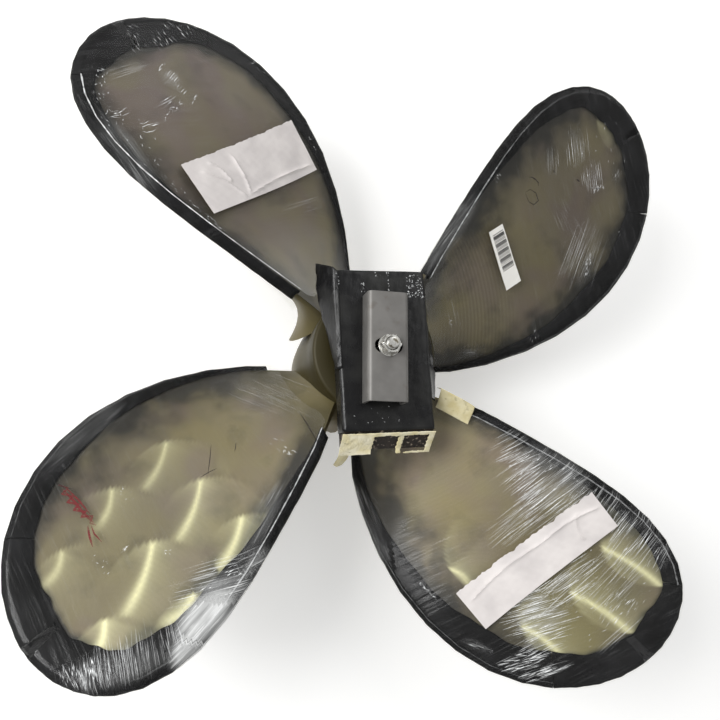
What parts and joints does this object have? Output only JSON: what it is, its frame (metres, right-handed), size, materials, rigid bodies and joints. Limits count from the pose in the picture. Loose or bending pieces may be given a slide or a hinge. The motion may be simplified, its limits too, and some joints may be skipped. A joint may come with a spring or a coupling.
{
  "type": "ship propeller, packed for transport",
  "caption": "Right-handed bronze ship propeller with rubber guards on the blade edges, film over the blades and a timber block clamped over the aft end of the hub.",
  "frame": {"origin": "on the shaft axis, in the plane of the hub's forward face, which it stands on", "axes": "+Z along the shaft axis towards the aft end; the four blades' root lines lie at 45, 135, 225 and 315 degrees from +X"},
  "size_m": [1.246, 1.246, 0.4042],
  "materials": {
    "bronze": "cast manganese bronze, milled faces",
    "rubber": "matt black foam rubber",
    "film": "clear stretch film, creased",
    "paper": "plain office paper",
    "label": "coated label stock",
    "black_sheet": "black plastic sheet, taped",
    "timber": "rough sawn, dark",
    "tape": "cream masking tape",
    "steel": "hot-rolled, dull grey",
    "zinc": "zinc plated, greasy"
  },
  "bodies": {
    "root": {"anchor_disc": "steel", "barcode_sticker": "label", "block_wrap": "black_sheet", "clamp_channel": "steel", "clamp_stud": "zinc", "film_sleeve_1": "film", "film_sleeve_2": "film", "film_sleeve_3": "film", "film_sleeve_4": "film", "leading_guard_1": "rubber", "leading_guard_2": "rubber", "leading_guard_3": "rubber", "leading_guard_4": "rubber", "propeller_casting": "bronze", "shipping_mark_1": "paper", "shipping_mark_2": "paper", "stud_nut": "zinc", "stud_washer": "zinc", "taped_end": "tape", "timber_block": "timber", "tip_guard_1": "rubber", "tip_guard_2": "rubber", "tip_guard_3": "rubber", "tip_guard_4": "rubber", "trailing_guard_1": "rubber", "trailing_guard_2": "rubber", "trailing_guard_3": "rubber", "trailing_guard_4": "rubber"}
  },
  "joints": []
}
